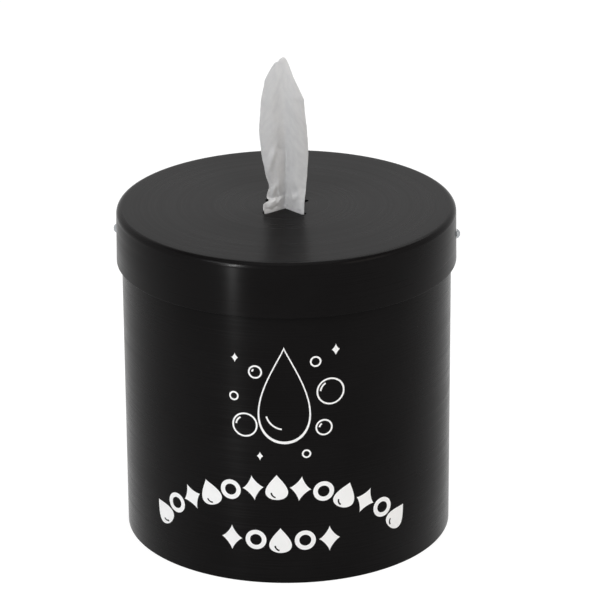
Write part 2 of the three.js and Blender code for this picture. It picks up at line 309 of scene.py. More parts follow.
class ShaderTree:
    """A short way to place and link nodes in a material, a world or a node group."""

    def __init__(self, tree: NodeTree) -> None:
        """Holds the tree that nodes go into."""
        self.tree = tree

    def fill(self, node: Node, values: Inputs) -> None:
        """Fills a node's inputs.

        Args:
            node: The node.
            values: By an input's name or place, the socket that is linked to it or the value that it holds.
        """
        for place, value in values.items():
            if isinstance(value, Socket):
                self.tree.links.new(value, node.inputs[place])
            else:
                node.inputs[place].default_value = value

    def add(self, kind: str, values: Inputs | None = None, **settings: object) -> Node:
        """Adds a node.

        Args:
            kind: The node's type, without the ShaderNode prefix.
            values: What its inputs hold, as for fill.
            **settings: Attributes of the node, set by name.

        Returns:
            The new node.
        """
        node = self.tree.nodes.new("ShaderNode" + kind)
        for name, value in settings.items():
            setattr(node, name, value)
        self.fill(node, values or {})
        return node

    def group(self, tree: NodeTree, vector: Socket, **values: float) -> bpy.types.NodeOutputs:
        """Places a shared group with its own values, and gives its outputs."""
        return self.add("Group", {"Vector": vector, **values}, node_tree=tree).outputs

    def math(self, operation: str, *terms: float | Socket) -> Socket:
        """Adds a Math node whose inputs are numbers or sockets, and gives its output."""
        return self.add("Math", dict(enumerate(terms)), operation=operation).outputs[0]

    def weighted(self, *parts: tuple[Socket, float]) -> Socket:
        """Adds up sockets.

        Args:
            *parts: Each socket with the number that it is multiplied by.

        Returns:
            Their sum.
        """
        total, *rest = [self.math("MULTIPLY", *part) for part in parts]
        for term in rest:
            total = self.math("ADD", total, term)
        return total

    def noise(self, vector: Socket, scale: float, detail: float) -> Socket:
        """Adds a noise texture and gives its value."""
        return self.add("TexNoise", {"Vector": vector, "Scale": scale, "Detail": detail}).outputs["Fac"]

    def cells(self, vector: Socket, scale: float, feature: str = "F1") -> Socket:
        """Adds a cell texture and gives the distance from a cell's middle."""
        return self.add("TexVoronoi", {"Vector": vector, "Scale": scale}, feature=feature).outputs["Distance"]

    def spread(self, value: Socket, low: float, high: float, first: float = 0, last: float = 1) -> Socket:
        """Adds a Map Range node that takes low to high onto first to last, and gives its result."""
        values = {"Value": value, "From Min": low, "From Max": high, "To Min": first, "To Max": last}
        return self.add("MapRange", values).outputs["Result"]

    def tint(self, mask: Socket, first: Colour, second: Colour) -> Socket:
        """Adds a mix of two plain colours.

        Args:
            mask: What is 0 for the first colour and 1 for the second.
            first: The first colour.
            second: The second colour.

        Returns:
            The mixed colour.
        """
        node = self.add("Mix", {"Factor": mask}, data_type="RGBA")
        inputs = (socket for socket in node.inputs if socket.type == "RGBA")
        for socket, colour in zip(inputs, (first, second)):
            socket.default_value = (*colour, 1)
        return next(socket for socket in node.outputs if socket.type == "RGBA")

    def bump(self, height: Socket, depth: float, strength: float = 1) -> Socket:
        """Adds a bump of a height texture that is as deep as given in metres, and gives its normal."""
        values = {"Height": self.weighted((height, depth)), "Strength": strength, "Distance": 1}
        return self.add("Bump", values).outputs["Normal"]

    def cylindrical(self, vector: Socket) -> tuple[Socket, Socket, Socket]:
        """Gives a point's X, its distance from the Z axis and its Z."""
        x, y, z = self.add("SeparateXYZ", {0: vector}).outputs
        squares = (self.math("MULTIPLY", side, side) for side in (x, y))
        return x, self.math("SQRT", self.math("ADD", *squares)), z


class GroupKit:
    """The shader groups that several finishes share, each built once.

    Scales are counts in a metre. The fibres' ways are the angle of each layer in degrees and how many times
    longer than wide its fibres are.
    """

    DRIFT_SCALE = 6
    FIBRE_WAYS = ((25, 9), (-35, 7), (80, 8))
    FIBRE_SCALE = 6000
    DIMPLE_SCALE = 420
    CLOUD_SCALE = 160

    def __init__(self) -> None:
        """Builds every group."""
        self.spun_lines = self._spun_lines()
        self.speckle = self._speckle()
        self.fibres = self._fibres()

    @staticmethod
    def _start(name: str, setting: str) -> tuple[ShaderTree, Socket, Socket]:
        """Starts a group that takes a vector and one number.

        Args:
            name: The group's name.
            setting: The number's name.

        Returns:
            The group's tree, its vector and its number.
        """
        tree = bpy.data.node_groups.new(name, "ShaderNodeTree")
        tree.interface.new_socket("Vector", in_out="INPUT", socket_type="NodeSocketVector")
        tree.interface.new_socket(setting, in_out="INPUT", socket_type="NodeSocketFloat")
        start = tree.nodes.new("NodeGroupInput")
        return ShaderTree(tree), start.outputs["Vector"], start.outputs[setting]

    @staticmethod
    def _end(shader: ShaderTree, **results: Socket) -> NodeTree:
        """Ends a group.

        Args:
            shader: The group's tree.
            **results: What its outputs give, by their names.

        Returns:
            The finished group.
        """
        for label in results:
            shader.tree.interface.new_socket(label, in_out="OUTPUT", socket_type="NodeSocketFloat")
        shader.fill(shader.tree.nodes.new("NodeGroupOutput"), results)
        return shader.tree

    def _spun_lines(self) -> NodeTree:
        """Fine rings about Z, as on sheet metal that was spun or rolled, with a slow change round the can."""
        shader, vector, density = self._start("spun_lines", "Density")
        x, radius, z = shader.cylindrical(vector)
        steps = ((radius, density), (z, density), (x, self.DRIFT_SCALE))
        lines = shader.add("CombineXYZ", dict(enumerate(shader.math("MULTIPLY", *step) for step in steps)))
        fine, broad = (shader.noise(lines.outputs[0], *scale) for scale in ((1, 2), (0.35, 1)))
        return self._end(shader, Height=shader.weighted((fine, 0.6), (broad, 0.4)))

    def _speckle(self) -> NodeTree:
        """Uneven gloss and sparse dust: a broad mask, a fine one and small spots."""
        shader, vector, scale = self._start("speckle", "Scale")
        scaled = shader.add("VectorMath", {0: vector, "Scale": scale}, operation="SCALE").outputs[0]
        return self._end(shader, Broad=shader.spread(shader.noise(scaled, 0.4, 2), 0.3, 0.7),
                         Fine=shader.noise(scaled, 45, 2),
                         Spots=shader.spread(shader.cells(scaled, 7), 0.05, 0.02))

    def _fibres(self) -> NodeTree:
        """Nonwoven cloth: long crossing fibres and soft pressed dimples, in metres along the sheet."""
        shader, vector, depth = self._start("fibres", "Dimple")
        layers = []
        for degrees, stretch in self.FIBRE_WAYS:
            scale = (self.FIBRE_SCALE / stretch, self.FIBRE_SCALE, self.FIBRE_SCALE)
            values = {"Vector": vector, "Rotation": (0, 0, math.radians(degrees)), "Scale": scale}
            layers.append(shader.noise(shader.add("Mapping", values).outputs[0], 1, 2))
        fibre = shader.weighted(*((layer, 1 / len(layers)) for layer in layers))
        dimples = shader.math("MULTIPLY", shader.cells(vector, self.DIMPLE_SCALE, "SMOOTH_F1"), depth)
        tone = shader.math("ADD", fibre, shader.noise(vector, self.CLOUD_SCALE, 3))
        return self._end(shader, Height=shader.math("ADD", fibre, dimples),
                         Tone=shader.spread(tone, 0.75, 1.25))


@dataclass(frozen=True)
class Finish:
    """What every finish states: its name, the record's slot that it is for (not used), its colour and how
    rough it is.
    """

    name: str
    slot: str
    colour: Colour
    roughness: float

    def build(self, groups: GroupKit) -> bpy.types.Material:
        """Builds the material.

        Args:
            groups: The shared groups.

        Returns:
            The material.
        """
        material = bpy.data.materials.new(self.name)
        material.use_nodes = True
        shader = ShaderTree(material.node_tree)
        main = next(node for node in material.node_tree.nodes if node.type == "BSDF_PRINCIPLED")
        plain = {"Base Color": (*self.colour, 1), "Roughness": self.roughness}
        shader.fill(main, plain | self.looks(shader, groups, shader.add("TexCoord").outputs))
        return material

    def looks(self, shader: ShaderTree, groups: GroupKit, place: bpy.types.NodeOutputs) -> Inputs:
        """Gives what the main shader's inputs hold.

        Args:
            shader: The material's tree.
            groups: The shared groups.
            place: The texture coordinates.

        Returns:
            Sockets and values by the inputs' names.
        """
        raise NotImplementedError

    def uneven(self, shader: ShaderTree, mask: Socket, span: Pair, smoother: float, rougher: float) -> Socket:
        """Gives a roughness from somewhat smoother to somewhat rougher as a mask goes through its span."""
        return shader.spread(mask, *span, self.roughness - smoother, self.roughness + rougher)


@dataclass(frozen=True)
class EnamelFinish(Finish):
    """Satin enamel over spun or rolled sheet metal, with its highlight drawn out across the rings."""

    dust_colour: Colour = (0.03, 0.029, 0.029)
    dust_share: float = 0.35
    film_share: float = 0.06
    specular: float = 0.045
    anisotropy: float = 0.88
    ring_density: float = 900
    ring_depth: float = 2.5e-6
    ring_gloss: float = 0.035
    peel_depth: float = 3e-6
    rim_radius: float = 1
    rim_height: float = 1
    rim_blend: float = 1.5 * MM
    rim_roughness: float = 0.24
    top_anisotropy: float = 0.4

    def looks(self, shader: ShaderTree, groups: GroupKit, place: bpy.types.NodeOutputs) -> Inputs:
        """Gives the enamel's rings, dust and polished rim, as for every finish."""
        vector = place[Space.OBJECT.value]
        speckle = shader.group(groups.speckle, vector, Scale=40)
        broad, fine, spots = (speckle[mask.value] for mask in Mask)
        rings = shader.group(groups.spun_lines, vector, Density=self.ring_density)["Height"]
        _, radius, z = shader.cylindrical(vector)
        above = shader.spread(z, self.rim_height - self.rim_blend, self.rim_height)
        outside = shader.spread(radius, self.rim_radius - self.rim_blend, self.rim_radius)
        rim = shader.math("MULTIPLY", outside, above)
        satin = self.uneven(shader, broad, (0, 1), 0.02, 0.03)
        gloss = shader.spread(rings, 0.35, 0.65, -self.ring_gloss, self.ring_gloss)
        relief = shader.weighted((rings, self.ring_depth), (fine, self.peel_depth))
        dust = shader.weighted((spots, self.dust_share), (broad, self.film_share))
        return {
            "Base Color": shader.tint(dust, self.colour, self.dust_colour),
            "Roughness": shader.weighted((satin, 1), (rim, self.rim_roughness - self.roughness), (gloss, 1)),
            "Normal": shader.bump(relief, 1),
            "Specular IOR Level": self.specular,
            "Anisotropic": shader.spread(above, 0, 1, self.anisotropy, self.top_anisotropy),
            "Anisotropic Rotation": 0.25,
            "Tangent": shader.add("Tangent", direction_type="RADIAL", axis="Z").outputs[0],
        }


@dataclass(frozen=True)
class CoatFinish(Finish):
    """A matt coat with a fine grain: pebbled powder by default, or screen ink."""

    speckle_scale: float = 60
    mask: Mask = Mask.BROAD
    tones: Pair = (1, 2.2)
    grain: float = 5e-5
    unevenness: Pair = (0.04, 0.05)

    def looks(self, shader: ShaderTree, groups: GroupKit, place: bpy.types.NodeOutputs) -> Inputs:
        """Gives the coat's tones and grain, as for every finish."""
        speckle = shader.group(groups.speckle, place[Space.OBJECT.value], Scale=self.speckle_scale)
        tones = (tuple(tone * part for part in self.colour) for tone in self.tones)
        return {
            "Base Color": shader.tint(speckle[self.mask.value], *tones),
            "Roughness": self.uneven(shader, speckle[Mask.BROAD.value], (0, 1), *self.unevenness),
            "Normal": shader.bump(speckle[Mask.FINE.value], self.grain),
            "Specular IOR Level": 0.3,
        }


@dataclass(frozen=True)
class SteelFinish(Finish):
    """Bare or plated steel with turning marks and a little uneven tarnish."""

    tarnish: Colour = (0.32, 0.31, 0.29)
    tarnish_share: float = 0.4
    ring_density: float = 4000
    ring_depth: float = 4e-6

    def looks(self, shader: ShaderTree, groups: GroupKit, place: bpy.types.NodeOutputs) -> Inputs:
        """Gives the steel's tarnish and turning marks, as for every finish."""
        vector = place[Space.OBJECT.value]
        speckle = shader.group(groups.speckle, vector, Scale=160)
        rings = shader.group(groups.spun_lines, vector, Density=self.ring_density)["Height"]
        stain = shader.weighted((speckle[Mask.BROAD.value], self.tarnish_share))
        return {
            "Base Color": shader.tint(stain, self.colour, self.tarnish),
            "Roughness": self.uneven(shader, speckle[Mask.FINE.value], (0.3, 0.7), 0.05, 0.08),
            "Normal": shader.bump(rings, self.ring_depth),
            "Metallic": 1,
        }


@dataclass(frozen=True)
class NonwovenFinish(Finish):
    """Soft white nonwoven: crossing fibres, pressed dimples and a faint sheen."""

    shade: Colour = (0.5, 0.5, 0.5)
    space: Space = Space.SHEET
    relief: float = 6e-5
    bleed: float = 3 * MM

    def looks(self, shader: ShaderTree, groups: GroupKit, place: bpy.types.NodeOutputs) -> Inputs:
        """Gives the cloth's fibres and its soft light, as for every finish."""
        fibres = shader.group(groups.fibres, place[self.space.value], Dimple=0.5)
        return {
            "Base Color": shader.tint(fibres["Tone"], self.shade, self.colour),
            "Normal": shader.bump(fibres["Height"], self.relief, 0.8),
            "Specular IOR Level": 0.2,
            "Sheen Weight": 0.15,
            "Sheen Roughness": 0.5,
            "Subsurface Weight": 0.15,
            "Subsurface Radius": (self.bleed, self.bleed, self.bleed),
            "Subsurface Scale": 1,
        }


@dataclass
class Finishes:
    """Every material of the dispenser, built once."""

    groups: GroupKit = field(default_factory=GroupKit)
    drum_enamel: Finish = EnamelFinish("drum_enamel", "black_paint", (0.0044, 0.0039, 0.004), 0.27,
                                       ring_depth=1.8e-5, anisotropy=0.82)
    lid_enamel: Finish = EnamelFinish("lid_enamel", "black_paint", (0.0044, 0.0039, 0.004), 0.3,
                                      ring_depth=2.6e-5, anisotropy=0.95, rim_radius=122 * MM,
                                      rim_height=249.5 * MM)
    pan_enamel: Finish = EnamelFinish("pan_enamel", "black_paint", (0.006, 0.0058, 0.006), 0.36, anisotropy=0)
    powder: Finish = CoatFinish("bracket_powder", "bracket_paint", (0.012, 0.012, 0.013), 0.55)
    stainless: Finish = SteelFinish("stainless_steel", "stainless_steel", (0.36, 0.38, 0.4), 0.2)
    zinc: Finish = SteelFinish("zinc_plate", "zinc_plate", (0.5, 0.52, 0.54), 0.38, tarnish=(0.4, 0.38, 0.3))
    ink: Finish = CoatFinish("white_ink", "white_print", (0.95, 0.95, 0.95), 0.45, speckle_scale=120,
                             mask=Mask.FINE, tones=(0.9, 1), grain=8e-6, unevenness=(0, 0))
    wipe: Finish = NonwovenFinish("wipe_nonwoven", "wipe_fabric", (0.6, 0.6, 0.6), 0.9,
                                  shade=(0.53, 0.53, 0.54))
    roll: Finish = NonwovenFinish("roll_nonwoven", "wipe_fabric", (0.7, 0.7, 0.71), 0.92, space=Space.OBJECT)

    def __post_init__(self) -> None:
        """Builds each finish's material."""
        finishes = [value for value in vars(self).values() if isinstance(value, Finish)]
        self.built = {finish.name: finish.build(self.groups) for finish in finishes}


# The dispenser's own pieces


@dataclass(frozen=True)
class CanSizes:
    """The sizes that the drum, the lid and the floor share."""

    height: float = 253 * MM
    sheet: float = 1.2 * MM
    drum_radius: float = 123 * MM
    lid_gap: float = 2.3 * MM
    lid_flare: float = 0.5 * MM
    lid_skirt: float = 41.5 * MM
    seat_gap: float = 0.3 * MM
    bolt_hole: float = 3.3 * MM
    bolt_heights: Pair = (171 * MM, 81 * MM)
    round_steps: int = 256

    @property
    def drum_inner(self) -> float:
        """The drum's inside radius."""
        return self.drum_radius - self.sheet

    @property
    def lid_radius(self) -> float:
        """The lid's outer radius at the skirt's lower edge."""
        return self.drum_radius + self.lid_gap + self.sheet + self.lid_flare


@dataclass
class Assembly:
    """What every sub-assembly works from: the shared sizes and the finishes."""

    sizes: CanSizes
    finishes: Finishes

    def dress(self, obj: Thing, finish: Finish, body: str, *nodes: str) -> None:
        """Gives a piece its finish and its place in the frame.

        Args:
            obj: The finished piece.
            finish: The finish that it shows.
            body: The moving body that it rides on.
            *nodes: The solids that it stands for.
        """
        obj.data.materials.clear()
        obj.data.materials.append(self.finishes.built[finish.name])
        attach(obj, body)
        if nodes:
            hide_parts(*nodes)
        log.info("%s: %d faces on %s", obj.name, len(obj.data.polygons), body)


@dataclass
class Drum(Assembly):
    """The rolled drum with its curled rim and its welded seam, and the floor inside its foot."""

    curl_width: float = 5 * MM
    curl_drop: float = 5 * MM
    curl_radius: float = 2 * MM
    foot_ease: float = 0.3 * MM
    flange: float = 12 * MM
    floor_bend: float = 1.4 * MM
    seam_azimuth: float = 148
    seam_width: float = 3.2 * MM
    seam_rise: float = 0.12 * MM
    seam_sunk: float = 0.3 * MM
    seam_inset: float = 1.5 * MM
    seam_wobble: float = 0.25 * MM
    seam_wave: float = 9 * MM
    seam_cuts: int = 60

    def build(self) -> None:
        """Builds the drum's pieces."""
        self._shell()
        self._seam()
        self._floor()

    def _shell(self) -> None:
        """Builds the wall, which is one closed profile with an inward curl at the top."""
        s = self.sizes
        top = s.height - s.sheet
        shoulder = top - self.curl_radius
        curl_inner = s.drum_radius - self.curl_width
        inside = self.curl_radius - s.sheet
        profile = [
            *arc(s.drum_radius - self.foot_ease, self.foot_ease, self.foot_ease, -90, 0, 4),
            *between((s.drum_radius, 0), (s.drum_radius, top), *QUARTERS),
            *arc(s.drum_radius - self.curl_radius, shoulder, self.curl_radius, 0, 90),
            *arc(curl_inner + self.curl_radius, shoulder, self.curl_radius, 90, 180),
            (curl_inner, top - self.curl_drop),
            (curl_inner + s.sheet, top - self.curl_drop),
            *arc(curl_inner + self.curl_radius, shoulder, inside, 180, 90, 4),
            *arc(s.drum_radius - self.curl_radius, shoulder, inside, 90, 0, 4),
            *between((s.drum_inner, top), (s.drum_inner, 0), *QUARTERS),
            (s.drum_inner, 0),
        ]
        holes = [moved(rod(s.bolt_hole, 6 * s.sheet), at(0, s.drum_radius, z, 90, "X"))
                 for z in s.bolt_heights]
        wall = as_object("drum_wall", carved(spun(profile, s.round_steps, closed=True), holes))
        self.dress(wall, self.finishes.drum_enamel, "can", "drum_shell")

    def _seam(self) -> None:
        """Builds the ground weld bead that closes the rolled sheet at the back."""
        s = self.sizes
        length = s.height - s.sheet - self.curl_radius - 2 * self.seam_inset
        chord = self.seam_width / 2
        crown = [(chord * x, -self.seam_rise * y) for x, y in arc(0, 0, 1, 160, 20, 7)]
        section = [(-chord, 0), *crown, (chord, 0), (chord, self.seam_sunk), (-chord, self.seam_sunk)]
        bead = prism(section, length)
        long_edges = [edge for edge in bead.edges if edge.calc_length() > length / 2]
        bmesh.ops.subdivide_edges(bead, edges=long_edges, cuts=self.seam_cuts)
        moved(bead, at(0, -s.drum_radius, self.seam_inset))
        for vert in bead.verts:
            vert.co.x += self.seam_wobble * noise.noise(Vector((0, 0, vert.co.z / self.seam_wave)))
        seam = as_object("drum_seam", shaded(moved(bead, turned(self.seam_azimuth, "Z"))))
        self.dress(seam, self.finishes.drum_enamel, "can")

    def _floor(self) -> None:
        """Builds the floor pan, flush with the drum's foot."""
        s = self.sizes
        radius = s.drum_inner - s.seat_gap
        bend = self.floor_bend + s.sheet
        half = s.sheet / 2
        profile = [
            (0, 0),
            *between((0, 0), (radius, 0), *QUARTERS),
            *arc(radius - bend, bend, bend, -90, 0),
            *arc(radius - half, self.flange - half, half, 0, 180, 6),
            *arc(radius - bend, bend, self.floor_bend, 0, -90),
            *between((radius, s.sheet), (0, s.sheet), *QUARTERS),
            (0, s.sheet),
        ]
        pan = as_object("floor_pan", shaded(spun(profile, s.round_steps)))
        self.dress(pan, self.finishes.pan_enamel, "can", "base_pan")


@dataclass(frozen=True)
class Fastener:
    """Shapes of screws, nuts and washers along Z, with their small details as shares of their own sizes."""

    steps: int = 40
    thread_depth: float = 0.5
    tip_ease: float = 0.2
    head_lip: float = 0.12
    head_start: float = 4
    recess_length: float = 0.95
    recess_width: float = 0.24
    recess_taper: float = 2 / 3
    recess_floor: float = 0.45
    nut_ease: float = 0.11
    washer_ease: float = 0.25

    def dome_screw(self, radius: float, length: float, head_radius: float, head_height: float, pitch: float,
                   threaded: float) -> Mesh:
        """Builds a dome-headed screw with its tip at the origin and a cross recess in its head.

        Args:
            radius: The thread's outer radius.
            length: The shank's length.
            head_radius: The head's radius.
            head_height: The head's height.
            pitch: The distance between the thread's crests.
            threaded: How far the thread runs from the tip.

        Returns:
            The screw's mesh.
        """
        root = radius - self.thread_depth * pitch
        sphere = (head_radius ** 2 + head_height ** 2) / (2 * head_height)
        rim = math.degrees(math.asin((sphere - head_height) / sphere)) + self.head_start
        lip = self.head_lip * head_height
        profile = [(0, 0), (root - self.tip_ease * pitch, 0)]
        for turn in range(int(threaded / pitch)):
            profile += [(root, (turn + 0.25) * pitch), (radius, (turn + 0.75) * pitch)]
        profile += [(radius, length), (head_radius - lip, length), (head_radius, length + lip / 2)]
        profile += arc(0, length + head_height - sphere, sphere, rim, 90)[:-1]
        profile.append((0, length + head_height))
        floor = length + self.recess_floor * head_height
        recess = moved(prism(self._cross(head_radius), head_height), at(0, 0, floor))
        return carved(spun(profile, self.steps), [recess])

    def _cross(self, head_radius: float) -> Outline:
        """Gives the outline of a cross recess whose arms get narrower towards their ends.

        Args:
            head_radius: The radius of the head that it is in.

        Returns:
            The outline, with an arm's two outer corners and the inner corner after it for each quarter turn.
        """
        half, wide = self.recess_length * head_radius / 2, self.recess_width * head_radius / 2
        slim = self.recess_taper * wide
        inner = wide * half / (half + wide - slim)
        arm = ((half, -slim), (half, slim), (inner, inner))
        return [(c * x - s * y, s * x + c * y) for c, s in ((1, 0), (0, 1), (-1, 0), (0, -1)) for x, y in arm]

    def hex_nut(self, across_flats: float, bore: float, height: float) -> Mesh:
        """Builds a chamfered hexagon nut with its lower face at the origin.

        Args:
            across_flats: The distance between two opposite sides.
            bore: The hole's radius.
            height: The nut's height.

        Returns:
            The nut's mesh.
        """
        corner = across_flats / math.sqrt(3)
        soft = self.nut_ease * across_flats
        cone = spun([(0, 0), (corner - soft, 0), (corner, soft / 2), (corner, height - soft / 2),
                     (corner - soft, height), (0, height)], self.steps)
        hexagon = carved(prism(arc(0, 0, corner, 0, 300, 5), height), [cone], Cut.SHARED)
        return carved(hexagon, [moved(rod(bore, 3 * height, self.steps), at(0, 0, height / 2))])

    def washer(self, bore: float, radius: float, sheet: float) -> Mesh:
        """Builds a stamped washer with its lower face at the origin, rolled over at its upper rim.

        Args:
            bore: The hole's radius.
            radius: The outer radius.
            sheet: The washer's thickness.

        Returns:
            The washer's mesh.
        """
        soft = self.washer_ease * sheet
        rim = arc(radius - soft, sheet - soft, soft, 0, 90, 3)
        profile = [(bore, 0), (radius, 0), (radius, sheet - 2 * soft), *rim, (bore + soft, sheet),
                   (bore, sheet - soft)]
        return shaded(spun(profile, self.steps, closed=True))


@dataclass
class Lid(Assembly):
    """The spun lid with its cross slit, and the pinch screws and clinched nuts in its skirt."""

    fasteners: Fastener = Fastener()
    edge_radius: float = 4.5 * MM
    slit_arm: float = 22 * MM
    slit_width: float = 4.5 * MM
    slit_forward: float = 6.6 * MM
    slit_edge: float = 0.25 * MM
    screw_drop: float = 21.5 * MM
    screw_radius: float = 2 * MM
    screw_head_radius: float = 3.7 * MM
    screw_head_height: float = 2.6 * MM
    screw_pitch: float = 0.7 * MM
    screw_tip_gap: float = 0.3 * MM
    screw_turn: float = 18
    nut_across_flats: float = 7 * MM
    nut_drum_gap: float = 0.6 * MM
    hole_clearance: float = 0.3 * MM
    thread_clearance: float = 0.15 * MM

    def build(self) -> None:
        """Builds the lid and its fasteners."""
        self._cap()
        for side in Side:
            self._screw(side)
            self._nut(side)

    @property
    def screw_height(self) -> float:
        """The screws' height."""
        return self.sizes.height - self.screw_drop

    @property
    def skirt_at_screw(self) -> float:
        """The skirt's outer radius at the screws, since it flares downwards."""
        s = self.sizes
        return s.lid_radius - s.lid_flare * (s.lid_skirt - self.screw_drop) / (s.lid_skirt - self.edge_radius)

    def _slot(self, degrees: float) -> Mesh:
        """Gives one of the slit's two crossing slots as a cutting tool."""
        s = self.sizes
        half = self.slit_width / 2
        reach = self.slit_arm - half
        outline = [*arc(reach, 0, half, -90, 90, 12), *arc(-reach, 0, half, 90, 270, 12)]
        depth = 6 * s.sheet
        return moved(prism(outline, depth), at(0, -self.slit_forward, s.height - depth / 2, degrees))

    def _cap(self) -> None:
        """Builds the lid in one piece."""
        s = self.sizes
        shoulder = s.height - self.edge_radius
        flat = s.lid_radius - s.lid_flare - self.edge_radius
        foot = s.height - s.lid_skirt
        half = s.sheet / 2
        under = s.height - s.sheet
        profile = [
            (0, under),
            *between((0, under), (flat, under), 0.3, 0.6, 0.9),
            *arc(flat, shoulder, self.edge_radius - s.sheet, 90, 0),
            *arc(s.lid_radius - half, foot + half, half, 180, 360, 8),
            *arc(flat, shoulder, self.edge_radius, 0, 90, 12),
            *between((0, s.height), (flat, s.height), 0.97, 0.9, 0.6, 0.3),
            (0, s.height),
        ]
        hole = moved(rod(self.screw_radius + self.hole_clearance, 2.2 * s.lid_radius),
                     at(0, 0, self.screw_height, 90, "Y"))
        cap = carved(spun(profile, s.round_steps), [self._slot(45), self._slot(-45), hole])
        lid = as_object("spun_lid", cap)
        ease(lid, self.slit_edge)
        self.dress(lid, self.finishes.lid_enamel, "lid", "lid")

    def _outwards(self, side: Side, radius: float) -> Matrix:
        """Gives the place of a fastener that stands along Z, turned outwards at one side of the skirt."""
        return at(side.value * radius, 0, self.screw_height, 90 * side.value, "Y")

    def _screw(self, side: Side) -> None:
        """Builds one pinch screw.

        Args:
            side: The side that it is on.
        """
        tip = self.sizes.drum_radius + self.screw_tip_gap
        shank = self.skirt_at_screw + self.sizes.seat_gap - tip
        mesh = self.fasteners.dome_screw(self.screw_radius, shank, self.screw_head_radius,
                                         self.screw_head_height, self.screw_pitch, shank - self.screw_pitch)
        moved(mesh, self._outwards(side, tip) @ turned(self.screw_turn, "Z"))
        name = f"lid_screw_{side.name.lower()}"
        self.dress(as_object(f"dome_screw_{side.name.lower()}", mesh), self.finishes.stainless, name, name)

    def _nut(self, side: Side) -> None:
        """Builds one thin nut clinched behind the skirt.

        Args:
            side: The side that it is on.
        """
        s = self.sizes
        inner = s.drum_radius + self.nut_drum_gap
        height = self.skirt_at_screw - s.sheet - s.seat_gap - inner
        bore = self.screw_radius + self.thread_clearance
        mesh = moved(self.fasteners.hex_nut(self.nut_across_flats, bore, height), self._outwards(side, inner))
        label = side.name.lower()
        self.dress(as_object(f"clinch_nut_{label}", mesh), self.finishes.zinc, "lid", f"lid_nut_{label}")


@dataclass
class Roll(Assembly):
    """The centre-feed roll, whose many turns show as fine steps on its top face."""

    side_room: float = 14.3 * MM
    head_room: float = 50.6 * MM
    bore: float = 31.97 * MM
    edge: float = 4 * MM
    turns: int = 26
    step: float = 1.3 * MM
    looseness: float = 0.5 * MM
    top_wave: float = 14 * MM
    side_wave: float = 30 * MM
    round_steps: int = 180

    def build(self) -> None:
        """Builds the roll."""
        s = self.sizes
        radius = s.drum_inner - self.side_room
        foot, top = s.sheet, s.height - s.sheet - self.head_room
        half = self.edge / 2
        pitch = (radius - self.bore - self.edge) / self.turns
        face = []
        for turn in range(self.turns):
            outer = radius - half - turn * pitch
            face += [(outer, top - 0.2 * self.step), (outer - 0.4 * pitch, top - 0.1 * self.step),
                     (outer - 0.8 * pitch, top - self.step)]
        profile = [
            (self.bore, foot),
            (radius - half, foot),
            *arc(radius - half, foot + half, half, -60, 0, 3),
            *between((radius, foot), (radius, top), 0.2, 0.4, 0.6, 0.8),
            *arc(radius - half, top - half, half, 0, 60, 3),
            *face,
            (self.bore, top - half),
            *between((self.bore, top), (self.bore, foot), *QUARTERS),
        ]
        bm = spun(profile, self.round_steps, closed=True)
        for vert in bm.verts:
            flat = Vector((vert.co.x, vert.co.y, 0))
            if vert.co.z > foot + self.edge:
                vert.co.z -= self._slack(flat / self.top_wave)
            if flat.length > self.bore + self.edge:
                vert.co -= flat.normalized() * self._slack(vert.co / self.side_wave)
        self.dress(as_object("wound_roll", shaded(bm, 60)), self.finishes.roll, "can", "wipe_roll")

    def _slack(self, place: Vector) -> float:
        """Gives how far the roll gives way at a place in its noise."""
        return self.looseness * (0.5 + 0.5 * noise.noise(place))


@dataclass(frozen=True)
class FoldStation:
    """One level of the pulled wipe, in millimetres from the slit's middle.

    The front of the wipe is a valley between two folds, its second layer lies behind it, and a free flap
    stands off at each side of the back.
    """

    rise: float
    left: float
    right: float
    left_y: float
    right_y: float
    crease_y: float
    bulge: float
    gap: float
    neck_x: float
    neck_y: float
    back_x: float
    back_y: float

    @classmethod
    def between(cls, low: FoldStation, high: FoldStation, rise: float) -> FoldStation:
        """Gives the level at a height between two stations.

        Args:
            low: The station below.
            high: The station above.
            rise: The height.

        Returns:
            The level, eased half way from a straight blend to a smooth one.
        """
        share = ramp(rise, low.rise, high.rise)
        share = share * share * (3 - 2 * share) * 0.5 + share * 0.5
        return cls(*(p + (q - p) * share for p, q in zip(astuple(low), astuple(high))))

    def points(self) -> list[Vector]:
        """Gives the sheet's path through this level, from its left free edge round the front to the right."""
        left, right = Vector((-self.left, self.left_y)), Vector((self.right, self.right_y))
        crease = Vector((0.2, self.crease_y))
        out, behind = Vector((0, self.bulge)), Vector((0, self.gap))
        left_middle, right_middle = (left + crease) / 2, (right + crease) / 2
        return [
            Vector((-self.back_x, self.back_y)), Vector((-self.neck_x, self.neck_y)), left_middle + behind,
            left, left_middle - out, crease, right_middle - out, right, right_middle + behind,
            Vector((self.neck_x, self.neck_y)), Vector((self.back_x, self.back_y)),
        ]


@dataclass(frozen=True)
class Crinkle:
    """A soft ridge on the wipe's front, from one (across, rise) point to another, in millimetres."""

    start: Pair
    end: Pair
    width: float
    depth: float

    def lift(self, across: float, rise: float) -> float:
        """Gives how far the ridge lifts a point.

        Args:
            across: The point's distance to the right of the slit's middle.
            rise: The point's height above the lid.

        Returns:
            The lift in millimetres, less towards the ridge's ends.
        """
        a, b, p = Vector(self.start), Vector(self.end), Vector((across, rise))
        share = ramp((p - a).dot(b - a), 0, (b - a).length_squared)
        fall = math.exp(-(((p - (a + (b - a) * share)).length / self.width) ** 2))
        return self.depth * fall * (0.35 + 0.65 * math.sin(math.pi * share))


